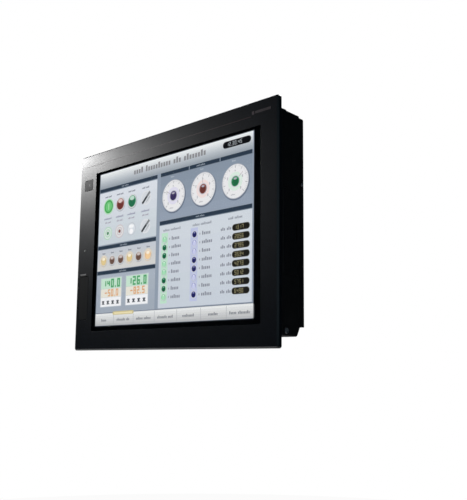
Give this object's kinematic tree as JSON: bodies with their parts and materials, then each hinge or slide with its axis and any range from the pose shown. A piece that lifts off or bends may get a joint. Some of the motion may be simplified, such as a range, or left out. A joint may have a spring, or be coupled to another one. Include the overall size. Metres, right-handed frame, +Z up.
{
  "type": "hmi touch panel",
  "caption": "Panel-mount operator touch screen: flat bezel with lit display, sealed to a cabinet cut-out, shallow case behind with covers and a connector bay.",
  "frame": {"origin": "centre of the cabinet panel's cut-out, in the plane of the panel's outer face, where the gasket seats", "axes": "+X to the right for someone facing the screen, +Y into the cabinet, +Z up; the screen faces -Y"},
  "size_m": [0.316, 0.052, 0.242],
  "materials": {
    "black_moulding": "fine-grained black moulding, semi gloss",
    "case_moulding": "fine-grained black moulding, satin",
    "rubber": "matt black",
    "touch_glass": "smooth, clear over the display",
    "lcd_glass": "lit display cell with a matt polariser",
    "acrylic": "clear light guide",
    "lamp_glass": "fluorescent tube",
    "white_plastic": "white moulding",
    "steel": "zinc-plated or tinned steel",
    "circuit_board": "green solder resist",
    "aluminium": "extruded",
    "grey_plastic": "grey moulding",
    "connector_black": "black connector moulding",
    "smoked_lens": "smoked window",
    "green_lens": "green light pipe",
    "clear_plastic": "clear moulding",
    "label_film": "blank polyester film",
    "battery_sleeve": "heat-shrink sleeve"
  },
  "bodies": {
    "housing": {"access_switch_body": "connector_black", "backlight_housing": "white_plastic", "backlight_lamp_bottom": "lamp_glass", "backlight_lamp_top": "lamp_glass", "battery": "battery_sleeve", "battery_holder": "grey_plastic", "buzzer": "connector_black", "card_access_led": "green_lens", "card_slot": "connector_black", "cpu_heatsink": "aluminium", "ethernet_jack": "steel", "extension_connector_1": "connector_black", "extension_connector_2": "connector_black", "front_bezel": "black_moulding", "interface_board": "circuit_board", "inverter_board": "circuit_board", "lcd_bracket": "steel", "lcd_frame": "steel", "lcd_glass": "lcd_glass", "light_guide": "acrylic", "main_board": "circuit_board", "middle_case": "case_moulding", "panel_gasket": "rubber", "power_board": "circuit_board", "power_led": "green_lens", "presence_sensor": "steel", "rating_label": "label_film", "rear_cover": "case_moulding", "rear_screw_1": "steel", "rear_screw_2": "steel", "rear_screw_3": "steel", "rear_screw_4": "steel", "rs232_connector": "steel", "rs422_connector": "steel", "sensor_lens": "smoked_lens", "side_screw_1": "steel", "side_screw_2": "steel", "side_screw_3": "steel", "side_screw_4": "steel", "terminal_block": "connector_black", "terminal_screw_1": "steel", "terminal_screw_2": "steel", "terminal_screw_3": "steel", "termination_switch_body": "connector_black", "touch_panel": "touch_glass", "usb_board": "circuit_board", "usb_device_port": "steel", "usb_host_port": "steel"},
    "usb_cover": {"usb_cover": "rubber"},
    "card_cover": {"card_cover": "case_moulding"},
    "card_eject_button": {"card_eject_button": "grey_plastic"},
    "card_access_switch": {"card_access_switch": "white_plastic"},
    "reset_button": {"reset_button": "grey_plastic"},
    "mode_button": {"mode_button": "grey_plastic"},
    "termination_switch": {"termination_switch": "white_plastic"},
    "battery_cover": {"battery_cover": "case_moulding"},
    "terminal_cover": {"terminal_cover": "clear_plastic"},
    "extension_cover_1": {"extension_cover_1": "case_moulding"},
    "extension_cover_2": {"extension_cover_2": "case_moulding"}
  },
  "joints": [
    {"name": "usb_cover_hinge", "type": "hinge", "parent": "housing", "child": "usb_cover", "pos_m": [-0.143, -0.006, -0.084], "axis": [1, 0, 0], "range_deg": [0, 120]},
    {"name": "card_cover_hinge", "type": "hinge", "parent": "housing", "child": "card_cover", "pos_m": [0.149, 0.0136, -0.00775], "axis": [0, 0, -1], "range_deg": [0, 95]},
    {"name": "card_eject_press", "type": "slide", "parent": "housing", "child": "card_eject_button", "axis": [-1, 0, 0], "range_m": [0, 0.004], "stiffness_N_per_m": 250},
    {"name": "card_access_slide", "type": "slide", "parent": "housing", "child": "card_access_switch", "axis": [0, 0, 1], "range_m": [0, 0.003]},
    {"name": "reset_press", "type": "slide", "parent": "housing", "child": "reset_button", "axis": [0, -1, 0], "range_m": [0, 0.001], "stiffness_N_per_m": 800},
    {"name": "mode_press", "type": "slide", "parent": "housing", "child": "mode_button", "axis": [0, -1, 0], "range_m": [0, 0.001], "stiffness_N_per_m": 800},
    {"name": "termination_slide", "type": "slide", "parent": "housing", "child": "termination_switch", "axis": [1, 0, 0], "range_m": [0, 0.003]},
    {"name": "battery_cover_hinge", "type": "hinge", "parent": "housing", "child": "battery_cover", "pos_m": [0.084, 0.045, -0.0257], "axis": [-1, 0, 0], "range_deg": [0, 95]},
    {"name": "terminal_cover_hinge", "type": "hinge", "parent": "housing", "child": "terminal_cover", "pos_m": [-0.088, 0.0361, -0.0821], "axis": [1, 0, 0], "range_deg": [0, 90]},
    {"name": "extension_cover_1_lift", "type": "slide", "parent": "housing", "child": "extension_cover_1", "axis": [0, 1, 0], "range_m": [0, 0.012]},
    {"name": "extension_cover_2_lift", "type": "slide", "parent": "housing", "child": "extension_cover_2", "axis": [0, 1, 0], "range_m": [0, 0.012]}
  ]
}
